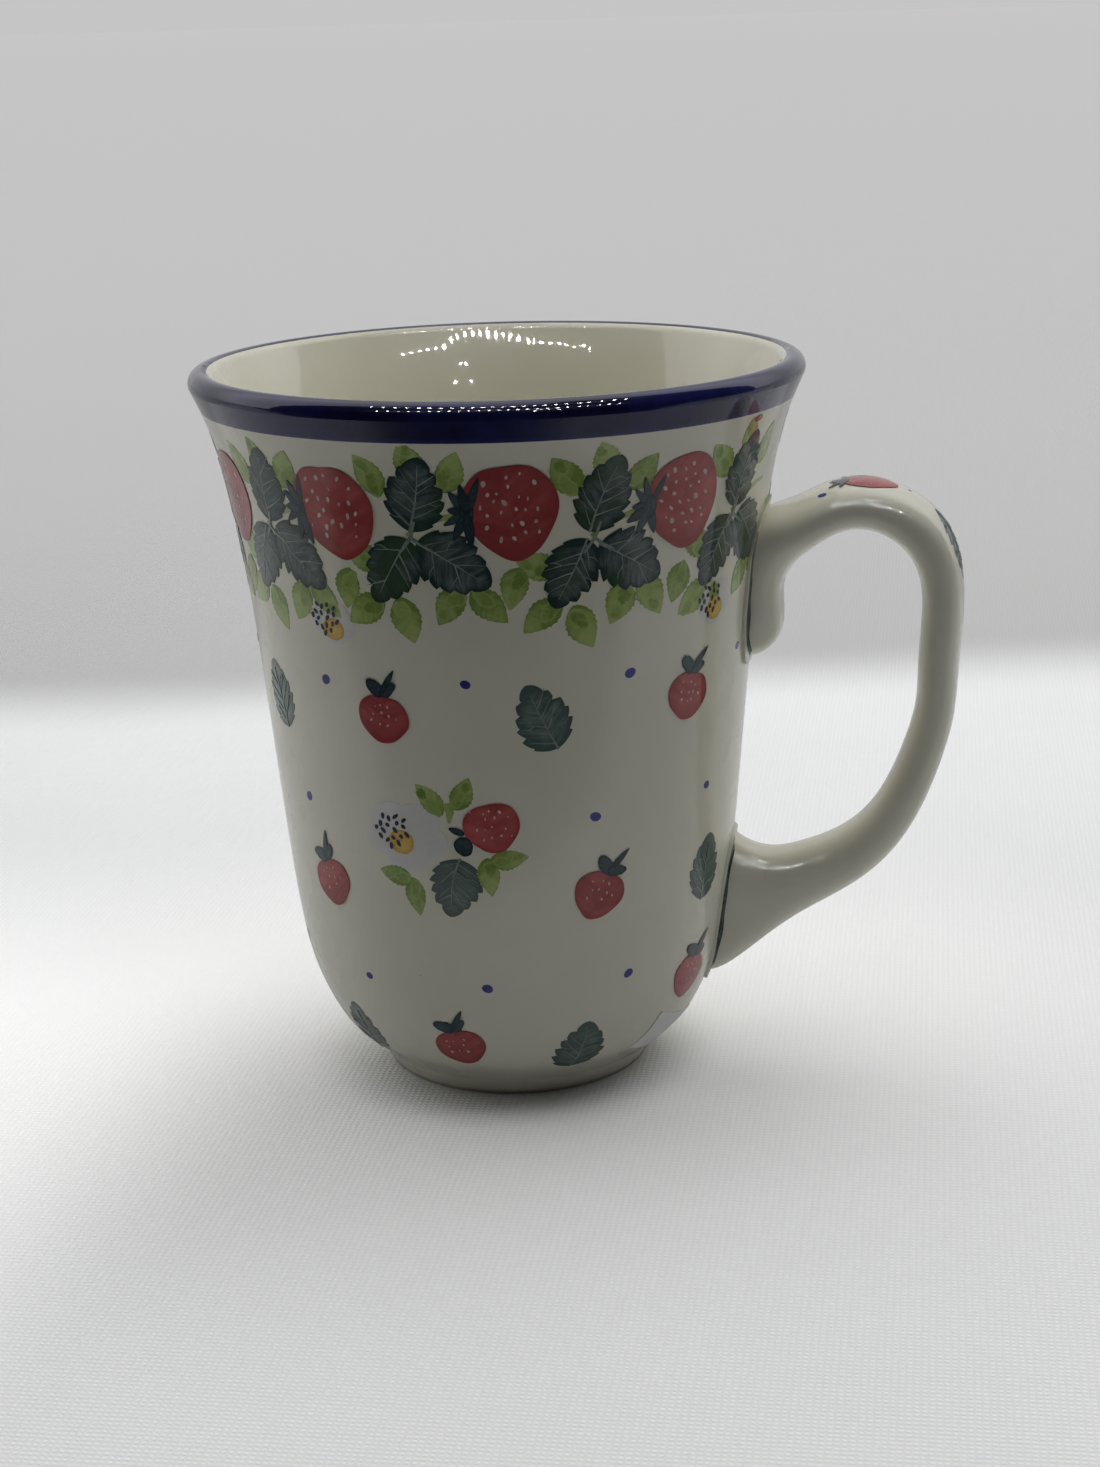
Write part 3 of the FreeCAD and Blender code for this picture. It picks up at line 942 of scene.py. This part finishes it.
def make_stage():
    far = FLOOR_REACH
    sheet_object("floor", [(-far, -far, 0), (far, -far, 0), (far, far, 0), (-far, far, 0)], [(0, 1, 2, 3)],
                 floor_material())
    black = Graph("dark_screen")
    black.shader.inputs["Base Color"].default_value = rgb(0.015, 0.015, 0.02)
    black.shader.inputs["Roughness"].default_value = 0.9
    points = []
    faces = []
    rows = 12
    steps = 24
    for r in range(rows + 1):
        rise = math.radians(SCREEN_TOP * r / rows)
        for k in range(steps + 1):
            a = math.radians(SCREEN_LEFT + (SCREEN_RIGHT - SCREEN_LEFT) * k / steps)
            reach = SCREEN_REACH * math.cos(rise)
            height = SCREEN_REACH * math.sin(rise)
            points.append(toward_eye(reach * math.sin(a), -reach * math.cos(a), height))
            if r and k:
                b = len(points) - 1
                faces.append((b - steps - 2, b - steps - 1, b, b - 1))
    screen = sheet_object("dark_screen", points, faces, black.material)
    screen.visible_camera = False


def make_light():
    """A pale room, dimmer where the glaze mirrors it behind the mug and where the camera sees it.

    An overhead light gives the shadow, and rows of lamps the dotted highlights."""
    world = bpy.data.worlds.new("tent")
    world.use_nodes = True
    tree = world.node_tree
    path = tree.nodes.new("ShaderNodeLightPath")
    where = tree.nodes.new("ShaderNodeTexCoord")
    behind = tree.nodes.new("ShaderNodeVectorMath")
    behind.operation = "DOT_PRODUCT"
    behind.inputs[1].default_value = toward_eye(0, 1, -0.45)
    share = tree.nodes.new("ShaderNodeMapRange")
    share.interpolation_type = "SMOOTHSTEP"
    share.inputs["From Min"].default_value = 0.25
    share.inputs["From Max"].default_value = 0.62
    both = tree.nodes.new("ShaderNodeMath")
    both.operation = "MULTIPLY"
    backed = tree.nodes.new("ShaderNodeMix")
    backed.data_type = "RGBA"
    backed.inputs[6].default_value = rgb(1.12, 1.12, 1.12)
    backed.inputs[7].default_value = rgb(0.48, 0.48, 0.48)
    seen = tree.nodes.new("ShaderNodeMix")
    seen.data_type = "RGBA"
    seen.inputs[7].default_value = rgb(0.555, 0.56, 0.555)
    tree.links.new(where.outputs["Generated"], behind.inputs[0])
    tree.links.new(behind.outputs["Value"], share.inputs["Value"])
    tree.links.new(share.outputs["Result"], both.inputs[0])
    tree.links.new(path.outputs["Is Glossy Ray"], both.inputs[1])
    tree.links.new(both.outputs["Value"], backed.inputs[0])
    tree.links.new(backed.outputs[2], seen.inputs[6])
    tree.links.new(path.outputs["Is Camera Ray"], seen.inputs[0])
    tree.links.new(seen.outputs[2], tree.nodes["Background"].inputs["Color"])
    bpy.context.scene.world = world
    top = soft_light("top_light", (0.24, 0.0, 0.68), (0.06, -0.02, 0.0), 0.6, 0.5, 1.7)
    top.visible_glossy = False
    lamp_strip("lamp_strip_top", -78, 78, 72, 24)
    lamp_strip("lamp_strip_front", -48, 48, 50, 25)
    lamp_strip("lamp_strip_low", 13, 22, 41, 4)


def make_camera():
    """Looks down at the mug from a little to the right of its front, tipped a touch to one side."""
    yaw, pitch, roll = math.radians(0.97), math.radians(16.1), math.radians(-1.66)
    ahead = Vector((math.sin(yaw) * math.cos(pitch), math.cos(yaw) * math.cos(pitch), -math.sin(pitch)))
    level = Vector((math.cos(yaw), -math.sin(yaw), 0))
    above = level.cross(ahead)
    right = math.cos(roll) * level + math.sin(roll) * above
    up = -math.sin(roll) * level + math.cos(roll) * above
    pose = Matrix((right, up, -ahead)).transposed().to_4x4()
    pose.translation = Vector((0, -EYE_DISTANCE, EYE_HEIGHT))
    data = bpy.data.cameras.new("camera")
    data.sensor_width = 36
    data.lens = 61.35
    data.clip_start = 0.01
    camera = bpy.data.objects.new("camera", data)
    bpy.context.scene.collection.objects.link(camera)
    camera.matrix_world = Matrix.Rotation(math.radians(VIEW_TURN), 4, "Z") @ pose
    bpy.context.scene.camera = camera


paint_wall()
paint_handle()
paint_seams()
finish_cad_nodes()
finish_paint()
make_stage()
make_light()
make_camera()
bpy.context.scene.view_settings.view_transform = "Standard"
